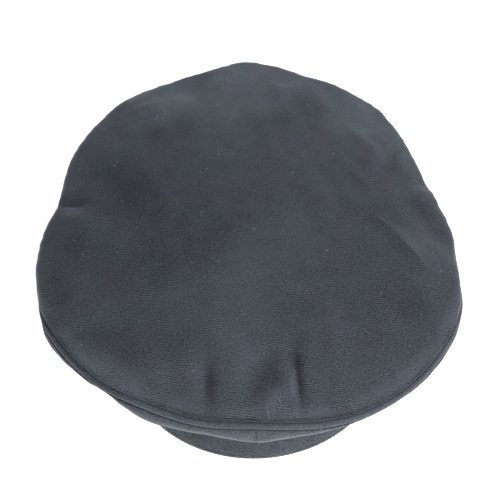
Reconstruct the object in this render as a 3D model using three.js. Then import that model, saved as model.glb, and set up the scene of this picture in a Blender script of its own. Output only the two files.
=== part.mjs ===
// Airline officer cap, in millimetres with +Z up and the front toward -Y.
// A soft cloth crown (disc, corded welt and four quarters) stands on an oval band with a short peak.
// The cap is modelled as worn, with the band level, then leaned back until it rests by itself
// on the edge of its peak and the back of its band.
import * as THREE from "three";

// Driving dimensions

const HEAD = { halfWidth: 82, halfDepth: 98 }; // inside of the band, 57 cm round
const CLOTH = 2; // crown cloth with its interlining
const GAP = 0.3; // sewn edges stay this far apart
const BAND = { wall: 3, height: 45, steps: 36 };
const LEAN = THREE.MathUtils.degToRad(7); // how far the resting cap leans back

// The crown's rim: its height as worn is a mean, a lift toward the front and a sag at both sides.
const RIM = { meanHeight: 74, frontLift: 14, saddle: 4 };
const CROWN = { middleHeight: 82, evenRadius: 126, columns: 108, outerRings: 12, innerRings: 6, rollSteps: 4 };
const WELT = { radius: 2.6, sides: 7 };
const QUARTER = { steps: 6, footRise: 12 };
const SIDE_SEAM = { left: -98, right: 103 }; // degrees from the front, where the outline is notched

// The crown's outline seen from above: degrees from the front toward +X, distance from the head's
// middle, and how far the rim rises or sags there. The low radii beside high ones are its notches.
const OUTLINE = [
  { at: -170, radius: 122.5, lift: 0 },
  { at: -158, radius: 120.5, lift: 1 },
  { at: -135, radius: 128, lift: -1 },
  { at: -115, radius: 127.5, lift: 0 },
  { at: -98, radius: 123, lift: 2 },
  { at: -88, radius: 130.5, lift: -1 },
  { at: -60, radius: 140, lift: -1 },
  { at: -40, radius: 134, lift: 0 },
  { at: -15, radius: 130, lift: 0 },
  { at: 0, radius: 129, lift: 0 },
  { at: 18, radius: 134.5, lift: 0 },
  { at: 47, radius: 138.5, lift: 0 },
  { at: 62, radius: 138.5, lift: -1 },
  { at: 72, radius: 132, lift: 1 },
  { at: 84, radius: 128, lift: 0 },
  { at: 103, radius: 118.5, lift: 2 },
  { at: 128, radius: 123, lift: -1 },
  { at: 143, radius: 122.5, lift: 0 },
  { at: 157, radius: 119, lift: 1 },
  { at: 178, radius: 126.5, lift: -1 },
];

// The edge of the crown, round the same angles. fall: slope of the disc's margin, roll: radius of
// its rolled edge, turn: where the roll ends (90 is up, 0 is straight out, below 0 is tucked under),
// leave: direction in which the quarter leaves the welt, fullness: how far the quarter bellies.
const EDGE = [
  { at: -180, fall: 18, roll: 7, turn: -45, leave: -160, fullness: 10 },
  { at: -110, fall: 20, roll: 7, turn: -45, leave: -160, fullness: 12 },
  { at: -78, fall: 20, roll: 7, turn: -40, leave: -140, fullness: 14 },
  { at: -60, fall: 14, roll: 6, turn: 15, leave: -75, fullness: 18 },
  { at: -42, fall: 8, roll: 5, turn: 45, leave: -52, fullness: 15 },
  { at: -27, fall: 5, roll: 5, turn: 50, leave: -46, fullness: 24 },
  { at: -14, fall: 4, roll: 5, turn: 50, leave: -44, fullness: 23 },
  { at: 0, fall: 4, roll: 5, turn: 50, leave: -38, fullness: 31 },
  { at: 13, fall: 4, roll: 5, turn: 50, leave: -44, fullness: 21 },
  { at: 28, fall: 5, roll: 5, turn: 50, leave: -48, fullness: 21 },
  { at: 48, fall: 8, roll: 5, turn: 46, leave: -46, fullness: 26 },
  { at: 63, fall: 14, roll: 6, turn: 20, leave: -70, fullness: 18 },
  { at: 78, fall: 20, roll: 7, turn: -35, leave: -135, fullness: 14 },
  { at: 110, fall: 20, roll: 7, turn: -45, leave: -160, fullness: 12 },
];

// Folds and dents of the disc, each a soft elongated hill or hollow: middle, direction in degrees
// from +X toward +Y, half length, half width, and height (below 0 is a hollow).
const FOLDS = [
  { name: "dent beside the front, left", x: -26, y: -102, heading: 90, long: 22, wide: 6, rise: -2.5 },
  { name: "dent beside the front, right", x: 22, y: -102, heading: 96, long: 24, wide: 6, rise: -4 },
  { name: "slack behind the front seam", x: -4, y: -104, heading: 50, long: 13, wide: 7, rise: -2.2 },
  { name: "bump behind the front seam", x: 10, y: -113, heading: 0, long: 8, wide: 8, rise: 1.5 },
  { name: "ridge on the right", x: 96, y: -22, heading: -54, long: 30, wide: 7, rise: 3.2 },
  { name: "hollow outside that ridge", x: 110, y: -14, heading: -60, long: 22, wide: 8, rise: -3.5 },
  { name: "ridge at the left front", x: -103, y: -65, heading: 20, long: 14, wide: 6, rise: 2 },
  { name: "hollow at the left front", x: -90, y: -76, heading: -15, long: 16, wide: 7, rise: -2.6 },
  { name: "hollow on the left", x: -95, y: -35, heading: -60, long: 24, wide: 12, rise: -3 },
  { name: "ridge before the left seam", x: -103, y: -3, heading: -23, long: 20, wide: 8, rise: 3.4 },
  { name: "crease in from the left seam", x: -110, y: 12, heading: -8, long: 14, wide: 6, rise: -4 },
  { name: "broad valley at the left", x: -86, y: 24, heading: -42, long: 28, wide: 17, rise: -5 },
  { name: "crease in from the right seam", x: 110, y: 20, heading: 12, long: 14, wide: 7, rise: -4 },
  { name: "swell at the back left", x: -67, y: 85, heading: 0, long: 15, wide: 14, rise: 3 },
  { name: "dip at the back", x: -34, y: 96, heading: 10, long: 18, wide: 13, rise: -3 },
  { name: "low swell in the middle", x: -27, y: 47, heading: 0, long: 24, wide: 22, rise: 2 },
];

// The peak's edge is part of an ellipse in plan. It lies on the table up to lyingTo, in degrees round
// that ellipse, then rises to the band. Its root follows the band as far as spread on each side.
// bow is how far its slope arches and rim how thick its edge is.
const PEAK = {
  front: 135.2,
  widestAt: 61,
  halfWidth: 93,
  sweep: 112,
  lyingTo: 45,
  spread: 70,
  thickness: 3,
  rim: 1.6,
  bow: 2.5,
  columns: 36,
};
const PEAK_ROWS = [0, 0.2, 0.4, 0.6, 0.8, 0.95, 1];

const COLOURS = {
  crown: 0x454a51,
  welt: 0x54585f,
  quarter: 0x4a4f56,
  band: 0x42474e,
  peak: 0x4c5158,
};

const radians = THREE.MathUtils.degToRad;

/** A smooth function of the angle through one column of a table that goes all the way round. */
function roundTable(rows, column) {
  const count = rows.length;
  const angle = (i) => rows[((i % count) + count) % count].at + 360 * Math.floor(i / count);
  const value = (i) => rows[((i % count) + count) % count][column];
  const slope = (i) => (value(i + 1) - value(i - 1)) / (angle(i + 1) - angle(i - 1));
  return (degrees) => {
    const turned = rows[0].at + ((((degrees - rows[0].at) % 360) + 360) % 360);
    let i = 0;
    while (angle(i + 1) <= turned) i += 1;
    const width = angle(i + 1) - angle(i);
    const t = (turned - angle(i)) / width;
    const startWeight = 2 * t ** 3 - 3 * t ** 2 + 1;
    const endWeight = 1 - startWeight;
    const bend = slope(i) * (t ** 3 - 2 * t ** 2 + t) + slope(i + 1) * (t ** 3 - t ** 2);
    return value(i) * startWeight + value(i + 1) * endWeight + bend * width;
  };
}

const outlineRadius = roundTable(OUTLINE, "radius");
const outlineLift = roundTable(OUTLINE, "lift");
const edge = {
  fall: roundTable(EDGE, "fall"),
  roll: roundTable(EDGE, "roll"),
  turn: roundTable(EDGE, "turn"),
  leave: roundTable(EDGE, "leave"),
  fullness: roundTable(EDGE, "fullness"),
};

/** A point at a distance out from the head's middle, degrees from the front toward +X. */
function around(degrees, out, height) {
  return new THREE.Vector3(out * Math.sin(radians(degrees)), -out * Math.cos(radians(degrees)), height);
}

/** A unit vector in a section through the middle: x is outward and y is up. */
function heading(degrees) {
  return new THREE.Vector2(Math.cos(radians(degrees)), Math.sin(radians(degrees)));
}

/** Distance from the middle to an ellipse at an angle from the front. */
function ellipseRadius(degrees, halfWidth, halfDepth) {
  return 1 / Math.hypot(Math.sin(radians(degrees)) / halfWidth, Math.cos(radians(degrees)) / halfDepth);
}

/** The rolled edge of the disc at an angle: the roll's centre and where it starts and ends. */
function rimSection(degrees) {
  const rolls = edge.roll(degrees);
  const height = RIM.meanHeight + RIM.frontLift * Math.cos(radians(degrees))
    + RIM.saddle * Math.cos(radians(2 * degrees)) + outlineLift(degrees);
  const centre = new THREE.Vector2(outlineRadius(degrees) - rolls, height);
  return { centre, rolls, start: 90 - edge.fall(degrees), end: edge.turn(degrees) };
}

/** Height added by the folds at a place on the disc. */
function foldHeight(x, y) {
  return FOLDS.reduce((total, fold) => {
    const along = heading(fold.heading);
    const u = ((x - fold.x) * along.x + (y - fold.y) * along.y) / fold.long;
    const v = ((y - fold.y) * along.x - (x - fold.x) * along.y) / fold.wide;
    return total + fold.rise * Math.exp(-u * u - v * v);
  }, 0);
}

/** The disc's outer surface: travel 0 is its middle, 1 the start of the rolled edge, 2 its end. */
function crownSurface(degrees, travel) {
  const { centre, rolls, start, end } = rimSection(degrees);
  if (travel > 1) {
    const angle = THREE.MathUtils.lerp(start, end, travel - 1);
    const section = heading(angle).multiplyScalar(rolls).add(centre);
    const point = around(degrees, section.x, section.y);
    point.z += foldHeight(point.x, point.y) * (1 - THREE.MathUtils.smoothstep(travel, 1, 2));
    return point;
  }
  const margin = heading(start).multiplyScalar(rolls).add(centre);
  const lift = RIM.frontLift * Math.cos(radians(degrees));
  const saddle = RIM.saddle * Math.cos(radians(2 * degrees));
  const rise = margin.y - CROWN.middleHeight - lift - saddle;
  const slope = -margin.x * Math.tan(radians(90 - start)) - lift - 2 * saddle;
  const droop = (slope - 4 * rise) / 2;
  const height = CROWN.middleHeight + lift * travel + saddle * travel ** 2
    + (rise - droop) * travel ** 4 + droop * travel ** 6;
  const out = travel * THREE.MathUtils.lerp(CROWN.evenRadius, margin.x, travel ** 2);
  const point = around(degrees, out, height);
  point.z += foldHeight(point.x, point.y);
  return point;
}

/** The outward direction of the disc's surface, from its neighbours on both sides. */
function crownNormal(degrees, travel) {
  if (travel === 0) return new THREE.Vector3(0, 0, 1);
  const step = { degrees: 0.5, travel: 0.01 };
  const outward = crownSurface(degrees, Math.min(travel + step.travel, 2))
    .sub(crownSurface(degrees, travel - step.travel));
  const sideways = crownSurface(degrees + step.degrees, travel)
    .sub(crownSurface(degrees - step.degrees, travel));
  return outward.cross(sideways).normalize();
}

/** The welt's centre, in line with the middle of the disc's wall at the end of its roll. */
function weltCentre(degrees) {
  const { centre, rolls, end } = rimSection(degrees);
  return heading(end).multiplyScalar(rolls - CLOTH / 2).add(centre)
    .add(heading(end - 90).multiplyScalar(WELT.radius + GAP));
}

/** The middle of a quarter's wall in section, a Bezier curve from the welt down to the band's top. */
function quarterCurve(degrees) {
  const away = heading(edge.leave(degrees));
  const top = weltCentre(degrees).add(away.clone().multiplyScalar(WELT.radius + GAP));
  const full = top.clone().add(away.multiplyScalar(edge.fullness(degrees)));
  const bandMiddle = ellipseRadius(degrees, HEAD.halfWidth + BAND.wall / 2, HEAD.halfDepth + BAND.wall / 2);
  const foot = new THREE.Vector2(bandMiddle, BAND.height + GAP);
  const rise = new THREE.Vector2(bandMiddle, BAND.height + GAP + QUARTER.footRise);
  return new THREE.CubicBezierCurve(top, full, rise, foot);
}

/** Evenly spaced values, both ends included. */
function evenSteps(from, to, count) {
  return Array.from({ length: count + 1 }, (_, i) => from + ((to - from) * i) / count);
}

/** Collects points and faces, and joins rows of points with pairs of triangles. */
class SolidBuilder {
  constructor() {
    this.positions = [];
    this.faces = [];
  }

  addPoint(point) {
    this.positions.push(point.x, point.y, point.z);
    return this.positions.length / 3 - 1;
  }

  addRow(points) {
    return points.map((point) => this.addPoint(point));
  }

  /** Joins two rows of equal length; a closed row also joins its last point to its first. */
  joinRows(first, second, closed) {
    const steps = closed ? first.length : first.length - 1;
    for (let i = 0; i < steps; i += 1) {
      const next = (i + 1) % first.length;
      this.faces.push(first[i], second[next], second[i], first[i], first[next], second[next]);
    }
  }

  /** Closes a ring of points with a fan to one point. */
  joinFan(row, tip) {
    row.forEach((index, i) => this.faces.push(index, row[(i + 1) % row.length], tip));
  }

  /** Closes a flat end whose loop runs along one side and back along the other. */
  joinEnd(loop) {
    const half = Math.floor(loop.length / 2);
    for (let i = 0; i < half - 1; i += 1) {
      const back = loop.length - 1 - i;
      this.faces.push(loop[i], loop[i + 1], loop[back - 1], loop[i], loop[back - 1], loop[back]);
    }
  }

  geometry() {
    const geometry = new THREE.BufferGeometry();
    geometry.setAttribute("position", new THREE.Float32BufferAttribute(this.positions, 3));
    geometry.setIndex(this.faces);
    geometry.computeVertexNormals();
    return geometry;
  }
}

/** A solid swept through closed section loops; an open sweep is closed at both ends. */
function sweptSolid(loops, closed) {
  const builder = new SolidBuilder();
  const rows = loops.map((loop) => builder.addRow(loop));
  for (let i = 0; i + 1 < rows.length; i += 1) builder.joinRows(rows[i], rows[i + 1], true);
  if (closed) {
    builder.joinRows(rows[rows.length - 1], rows[0], true);
  } else {
    builder.joinEnd([...rows[0]].reverse());
    builder.joinEnd(rows[rows.length - 1]);
  }
  return builder.geometry();
}

/** The soft disc: an outer and an inner surface, joined at the end of the rolled edge. */
function crownTopGeometry() {
  const builder = new SolidBuilder();
  const columns = evenSteps(-180, 180, CROWN.columns).slice(0, -1);
  const travels = (rings) => [
    ...Array.from({ length: rings }, (_, i) => ((i + 1) / rings) ** 0.8),
    ...Array.from({ length: CROWN.rollSteps }, (_, i) => 1 + (i + 1) / CROWN.rollSteps),
  ];
  const outside = (travel) => columns.map((degrees) => crownSurface(degrees, travel));
  const inside = (travel) => columns.map((degrees) => (
    crownSurface(degrees, travel).addScaledVector(crownNormal(degrees, travel), -CLOTH)));
  const outerRows = travels(CROWN.outerRings).map((travel) => builder.addRow(outside(travel)));
  const innerRows = travels(CROWN.innerRings).map((travel) => builder.addRow(inside(travel)));
  const top = crownSurface(0, 0);
  builder.joinFan(outerRows[0], builder.addPoint(top));
  for (let i = 0; i + 1 < outerRows.length; i += 1) builder.joinRows(outerRows[i + 1], outerRows[i], true);
  builder.joinRows(innerRows[innerRows.length - 1], outerRows[outerRows.length - 1], true);
  for (let i = 0; i + 1 < innerRows.length; i += 1) builder.joinRows(innerRows[i], innerRows[i + 1], true);
  const underTop = builder.addPoint(top.clone().setZ(top.z - CLOTH));
  builder.joinFan([...innerRows[0]].reverse(), underTop);
  return builder.geometry();
}

function weltGeometry() {
  const loops = evenSteps(-180, 180, CROWN.columns).slice(0, -1).map((degrees) => {
    const centre = weltCentre(degrees);
    return Array.from({ length: WELT.sides }, (_, side) => {
      const section = heading((-360 * side) / WELT.sides).multiplyScalar(WELT.radius).add(centre);
      return around(degrees, section.x, section.y);
    });
  });
  return sweptSolid(loops, true);
}

/** One quarter between two seams. Half the sewing gap is left at each of them. */
function quarterGeometry(from, to) {
  const seam = THREE.MathUtils.radToDeg(GAP / 2 / HEAD.halfWidth);
  const count = Math.round((CROWN.columns * (to - from)) / 360);
  const loops = evenSteps(from + seam, to - seam, count).map((degrees) => {
    const curve = quarterCurve(degrees);
    const wallPoint = (t, side) => {
      const along = curve.getTangent(t);
      const offset = new THREE.Vector2(-along.y, along.x).multiplyScalar((side * CLOTH) / 2);
      const section = curve.getPoint(t).add(offset);
      return around(degrees, section.x, t === 1 ? BAND.height + GAP : section.y);
    };
    const steps = evenSteps(0, 1, QUARTER.steps);
    return [
      ...steps.map((t) => wallPoint(t, 1)),
      ...steps.reverse().map((t) => wallPoint(t, -1)),
    ];
  });
  return sweptSolid(loops, false);
}

/** The oval band, a level ring round the head. */
function bandGeometry() {
  const shape = new THREE.Shape();
  shape.absellipse(0, 0, HEAD.halfWidth + BAND.wall, HEAD.halfDepth + BAND.wall, 0, 2 * Math.PI);
  const opening = new THREE.Path();
  opening.absellipse(0, 0, HEAD.halfWidth, HEAD.halfDepth, 0, 2 * Math.PI, true);
  shape.holes.push(opening);
  return new THREE.ExtrudeGeometry(shape, {
    depth: BAND.height,
    bevelEnabled: false,
    curveSegments: BAND.steps,
  });
}

/** Height of the table under the leaning cap, in the worn frame. */
function tableHeight(y) {
  return -(HEAD.halfDepth + BAND.wall - y) * Math.tan(LEAN);
}

/** The peak: a thin curved plate from the foot of the band down to the table. */
function peakGeometry() {
  const besideBand = BAND.wall + GAP;
  const loops = evenSteps(-1, 1, PEAK.columns).map((across) => {
    const rootAt = across * PEAK.spread;
    const rootRadius = ellipseRadius(rootAt, HEAD.halfWidth + besideBand, HEAD.halfDepth + besideBand);
    const root = around(rootAt, rootRadius, 0);
    const edgeAt = across * PEAK.sweep;
    const tip = around(edgeAt, 1, 0)
      .multiply(new THREE.Vector3(PEAK.halfWidth, PEAK.front - PEAK.widestAt, 0));
    tip.y -= PEAK.widestAt;
    const lying = 1 - THREE.MathUtils.smoothstep(Math.abs(edgeAt), PEAK.lyingTo, PEAK.sweep);
    tip.z = tableHeight(tip.y) * lying;
    const run = tip.clone().sub(root);
    const up = new THREE.Vector3(-run.x * run.z, -run.y * run.z, run.x ** 2 + run.y ** 2).normalize();
    const bow = PEAK.bow * Math.cos(radians(90 * across));
    const under = (t) => root.clone().addScaledVector(run, t).addScaledVector(up, bow * 4 * t * (1 - t));
    const over = (t) => under(t).addScaledVector(up, t === 1 ? PEAK.rim : PEAK.thickness);
    return [...PEAK_ROWS.map(over), ...[...PEAK_ROWS].reverse().map(under)];
  });
  return sweptSolid(loops, false);
}

/** A named piece in a plain cloth of its own shade. */
function clothPiece(name, geometry, colour) {
  const material = new THREE.MeshStandardMaterial({ color: colour, roughness: 0.95, metalness: 0 });
  const mesh = new THREE.Mesh(geometry, material);
  mesh.name = name;
  return mesh;
}

/** The cap as worn, with its band level at height 0. */
function wornCap() {
  const cap = new THREE.Group();
  const { left, right } = SIDE_SEAM;
  cap.add(
    clothPiece("crown_top", crownTopGeometry(), COLOURS.crown),
    clothPiece("crown_welt", weltGeometry(), COLOURS.welt),
    clothPiece("quarter_front_left", quarterGeometry(left, 0), COLOURS.quarter),
    clothPiece("quarter_front_right", quarterGeometry(0, right), COLOURS.quarter),
    clothPiece("quarter_rear_left", quarterGeometry(-180, left), COLOURS.quarter),
    clothPiece("quarter_rear_right", quarterGeometry(right, 180), COLOURS.quarter),
    clothPiece("band", bandGeometry(), COLOURS.band),
    clothPiece("peak", peakGeometry(), COLOURS.peak),
  );
  return cap;
}

/** The cap at rest: leaned back about the foot of the band, its origin under the middle of its box. */
function restingCap() {
  const cap = wornCap();
  const heel = new THREE.Vector3(0, HEAD.halfDepth + BAND.wall, 0);
  cap.rotation.x = -LEAN;
  cap.position.copy(heel).sub(heel.clone().applyEuler(cap.rotation));
  const resting = new THREE.Group();
  resting.add(cap);
  const box = new THREE.Box3().setFromObject(resting, true);
  const middle = box.getCenter(new THREE.Vector3());
  resting.position.set(-middle.x, -middle.y, -box.min.z);
  return resting;
}

export default restingCap();
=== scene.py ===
"""Airline officer cap in slate-blue wool serge.

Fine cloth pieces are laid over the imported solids, in the same frame. Their form starts from the
construction's named values and is trimmed slightly where the photo's seams show it. They are lit in a
pale studio. Sizes of the cap's form are in millimetres and of the scene in metres.
"""

import logging
import math
from abc import ABC, abstractmethod
from dataclasses import dataclass
from enum import Enum
from typing import Iterable, Sequence

import bpy
import numpy as np
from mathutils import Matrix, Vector


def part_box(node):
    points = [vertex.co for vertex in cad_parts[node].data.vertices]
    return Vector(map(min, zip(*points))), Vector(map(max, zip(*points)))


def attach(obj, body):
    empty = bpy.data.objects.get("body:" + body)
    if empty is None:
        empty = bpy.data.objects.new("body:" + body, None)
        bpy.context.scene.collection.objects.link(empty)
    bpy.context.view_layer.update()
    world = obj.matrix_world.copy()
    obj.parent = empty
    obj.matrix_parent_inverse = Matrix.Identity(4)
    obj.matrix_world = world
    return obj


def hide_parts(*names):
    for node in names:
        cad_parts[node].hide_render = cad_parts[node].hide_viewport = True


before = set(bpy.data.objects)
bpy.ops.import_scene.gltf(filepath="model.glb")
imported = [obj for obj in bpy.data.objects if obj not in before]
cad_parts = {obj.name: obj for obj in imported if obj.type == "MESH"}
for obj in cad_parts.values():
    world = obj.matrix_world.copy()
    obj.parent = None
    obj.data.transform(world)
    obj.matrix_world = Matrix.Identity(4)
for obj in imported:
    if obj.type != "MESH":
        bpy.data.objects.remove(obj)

log = logging.getLogger("officer_cap")

MM = 0.001

Array = np.ndarray
Section = tuple[Array, Array]

# A crease's tip is rounded over this many half widths, and a lap is this much steeper before it.
CREASE_TIP = 0.35
LAP_STEEPNESS = 4.0

# The sizes of the sines in an uneven pattern, and how high they are together.
RIPPLE_SIZES = (0.6, 1.7)
RIPPLE_HEIGHT = 0.7

# How much more closely the columns of a piece that goes all the way round stand at the front.
FRONT_SHARE = 0.35

# Faces that meet at less than this many degrees look smooth, and points this near, in metres, are one.
SMOOTH_BELOW = 55
MERGE_WITHIN = 0.00002


class FoldShape(Enum):
    """How a fold of the cloth is shaped across."""

    SWELL = "a soft round hill or hollow"
    CREASE = "a sharp line with soft sides"
    LAP = "steep on the side before it, soft on the side after it"


@dataclass(frozen=True)
class Fold:
    """One fold or dent of the disc, in millimetres of the worn cap's plan.

    heading is in degrees from +X toward +Y; rise below 0 is a hollow.
    """

    x: float
    y: float
    heading: float
    long: float
    wide: float
    rise: float
    shape: FoldShape = FoldShape.SWELL

    def height(self, x: Array, y: Array) -> Array:
        """Returns the height that this fold adds at each place."""
        along = math.radians(self.heading)
        u = ((x - self.x) * math.cos(along) + (y - self.y) * math.sin(along)) / self.long
        v = ((y - self.y) * math.cos(along) - (x - self.x) * math.sin(along)) / self.wide
        if self.shape is FoldShape.CREASE:
            across = np.exp(CREASE_TIP - np.hypot(v, CREASE_TIP))
        elif self.shape is FoldShape.LAP:
            across = np.exp(-np.where(v < 0, LAP_STEEPNESS * v, v)**2)
        else:
            across = np.exp(-v * v)
        return self.rise * np.exp(-u * u) * across


@dataclass(frozen=True)
class OutlineRow:
    """The crown's outline at one angle: how far out it reaches and how far it rises or sags."""

    at: float
    radius: float
    lift: float


@dataclass(frozen=True)
class EdgeRow:
    """The crown's edge at one angle, named as in the construction.

    fall is the slope of the disc's margin, roll the radius of its rolled edge, turn where that roll
    ends, leave the direction in which the quarter leaves the welt, fullness how far it bellies.
    """

    at: float
    fall: float
    roll: float
    turn: float
    leave: float
    fullness: float


OUTLINE = tuple(OutlineRow(*row) for row in (
    (-170, 122.5, 0), (-158, 120.5, 1), (-135, 128, -1), (-115, 127.5, 0), (-98, 123, 2),
    (-88, 130.5, -1), (-75, 136, -1), (-62, 138.3, -1), (-50, 136.5, 0), (-40, 134.5, 0),
    (-28, 131.3, 0), (-15, 130.6, 0), (0, 129.7, 0), (18, 135.8, 0), (31, 139.2, 0),
    (47, 140.2, 0), (62, 138.5, -1), (72, 131.5, 1), (84, 126.5, 0), (103, 117.5, 2),
    (128, 122.5, -1), (143, 122, 0), (157, 119, 1), (178, 125.3, -1),
))

EDGE = tuple(EdgeRow(*row) for row in (
    (-180, 18, 7, -45, -160, 10), (-110, 20, 7, -45, -160, 12), (-78, 20, 7, -40, -140, 14),
    (-60, 12, 6, 36, -52, 23), (-44, 8, 5, 44, -60, 9), (-39, 7.5, 5, 46, -76, 6),
    (-34, 7, 5, 48, -50, 18), (-27, 5, 5, 50, -46, 28), (-14, 4, 5, 50, -44, 18),
    (-0.8, 4, 5, 50, -38, 27), (13, 4, 5, 49, -46, 14), (28, 5, 5, 41, -80, 6),
    (48, 8, 5, 35, -62, 18), (63, 14, 6, 14, -74, 18), (78, 20, 7, -35, -135, 14),
    (110, 20, 7, -45, -160, 12),
))

# The main folds follow the construction's, gentler where a fine crease takes up part of the depth.
MAIN_FOLDS = (
    Fold(-27.0, -105, 90, 15, 5, -1.6),
    Fold(21.0, -103, 92, 15, 4.5, -1.8),
    Fold(1, -103, 52, 14, 7, -3.1),
    Fold(7, -115, 30, 8, 7, 1.4),
    Fold(95, -28, -54, 22, 6, 2.0),
    Fold(110, -14, -60, 22, 8, -2.4),
    Fold(-103, -65, 20, 14, 6, 2),
    Fold(-90, -76, -15, 16, 7, -2.6),
    Fold(-95, -35, -60, 24, 12, -3),
    Fold(-103, -3, -23, 20, 8, 2.8),
    Fold(-110, 12, -8, 10, 6, -3),
    Fold(-86, 24, -42, 28, 17, -5),
    Fold(110, 20, 12, 14, 7, -3),
    Fold(-67, 85, 0, 15, 14, 3),
    Fold(-34, 96, 10, 18, 13, -3),
    Fold(-27, 47, 0, 24, 22, 2),
)

FINE_FOLDS = (
    Fold(-29.5, -106, 90, 13, 18, -2.6, FoldShape.LAP),
    Fold(20.0, -93, 76, 8, 4.5, -2.1),
    Fold(22.2, -108, 91, 13, 1.4, -2.4, FoldShape.CREASE),
    Fold(18.8, -109, 91, 9, 1.5, 0.9, FoldShape.CREASE),
    Fold(4.8, -121, -80, 7, 0.8, 0.55, FoldShape.CREASE),
    Fold(7.8, -117, -70, 7, 0.8, 0.45, FoldShape.CREASE),
    Fold(-47, -98, 90, 17, 4.5, -0.7),
    Fold(-37, -96, 88, 18, 4.5, 0.4),
    Fold(-12, -94, 92, 16, 5, 0.6),
    Fold(44, -92, 94, 20, 5, 0.5),
    Fold(58, -88, 100, 18, 5, -0.6),
    Fold(97, -29.8, -54.6, 18, 2.0, 0.9, FoldShape.CREASE),
    Fold(81.5, -8.5, -48, 6, 1.0, 0.8, FoldShape.CREASE),
    Fold(-114, 13.5, -8, 9, 4.5, -2.2, FoldShape.LAP),
    Fold(112, 22.5, 20, 9, 4, -0.6, FoldShape.CREASE),
    Fold(-31, 108, 29, 13, 7, -2.2),
    Fold(-66, 85, 16, 12, 2.5, 1.0, FoldShape.CREASE),
    Fold(41, 80, -20, 12, 8, -1.4),
    Fold(34, 94, 10, 14, 4, 0.9),
    Fold(48, 64, -35, 14, 4, 0.5),
    Fold(76, 52, -50, 18, 4, 1.5),
    Fold(60, 88, 30, 14, 4, -1.2),
    Fold(90, 34, 60, 14, 4, -1.4),
    Fold(72, 22, -62, 20, 5, 0.9),
    Fold(-92, -18, 5, 12, 4, 0.6),
    Fold(-66, 65, -25, 16, 11, -1.6),
)


class RoundTable:
    """Smooth values round the cap through one column of a table that goes all the way round."""

    def __init__(self, rows: Sequence[OutlineRow | EdgeRow], column: str) -> None:
        """Reads one column.

        Args:
            rows: rows in rising order of their angle.
            column: the name of the value.
        """
        at = np.array([row.at for row in rows], float)
        value = np.array([getattr(row, column) for row in rows], float)
        self.at = np.concatenate([at[-2:] - 360, at, at[:3] + 360])
        self.value = np.concatenate([value[-2:], value, value[:3]])
        self.slope = np.zeros(len(self.at))
        self.slope[1:-1] = (self.value[2:] - self.value[:-2]) / (self.at[2:] - self.at[:-2])

    def __call__(self, degrees: Array) -> Array:
        """Returns the value at each angle."""
        start = self.at[2]
        turned = start + np.mod(np.asarray(degrees, float) - start, 360.0)
        i = np.clip(np.searchsorted(self.at, turned, side="right") - 1, 2, len(self.at) - 4)
        width = self.at[i + 1] - self.at[i]
        t = (turned - self.at[i]) / width
        begin = 2 * t**3 - 3 * t**2 + 1
        bend = self.slope[i] * (t**3 - 2 * t**2 + t) + self.slope[i + 1] * (t**3 - t**2)
        return self.value[i] * begin + self.value[i + 1] * (1 - begin) + bend * width


def smooth_step(value: Array, low: float, high: float) -> Array:
    """Returns 0 below low, 1 above high and a smooth rise between them."""
    t = np.clip((np.asarray(value, float) - low) / (high - low), 0.0, 1.0)
    return t * t * (3 - 2 * t)


def ripple(a: Array, b: Array, seed: int, waves: int = 9) -> Array:
    """A gentle uneven pattern made of a few sines, the same on every run.

    Args:
        a: first coordinate, in wavelengths.
        b: second coordinate, in wavelengths.
        seed: picks the directions and phases of the sines.
        waves: how many sines are summed.

    Returns:
        Values from about -1 to 1.
    """
    source = np.random.default_rng(seed)
    total = np.zeros(np.broadcast(a, b).shape)
    for _ in range(waves):
        angle, phase = source.uniform(0, 2 * np.pi, 2)
        size = source.uniform(*RIPPLE_SIZES)
        total = total + np.sin(2 * np.pi * size * (a * np.cos(angle) + b * np.sin(angle)) + phase)
    return total * math.sqrt(2 / waves) * RIPPLE_HEIGHT


def denser_at_ends(t: Array, share: float) -> Array:
    """Moves even steps from 0 to 1 toward both ends; share 0 leaves them even."""
    return t - share * np.sin(2 * np.pi * t) / (2 * np.pi)


def round_over(distance: Array, radius: float) -> Array:
    """Returns how far a rounded edge falls away at each distance in from it."""
    near = 1 - np.clip(distance / radius, 0.0, 1.0)
    return radius * (1 - np.sqrt(1 - near * near))


def off_the_back(degrees: Array, reach: float) -> Array:
    """Returns 0 at the middle of the back, where a pattern round the cap meets itself, and 1 off it."""
    return smooth_step(180 - np.abs(degrees), 0, reach)


def round_angle(u: Array) -> Array:
    """Returns an angle from the front for each place from 0 to 1, with more of them near the front."""
    turn = 2 * np.pi * u - np.pi
    return np.degrees(turn - FRONT_SHARE * np.sin(turn))


def heading(degrees: Array) -> Section:
    """Returns unit directions in a section through the middle: outward part and upward part."""
    return np.cos(np.radians(degrees)), np.sin(np.radians(degrees))


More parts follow.
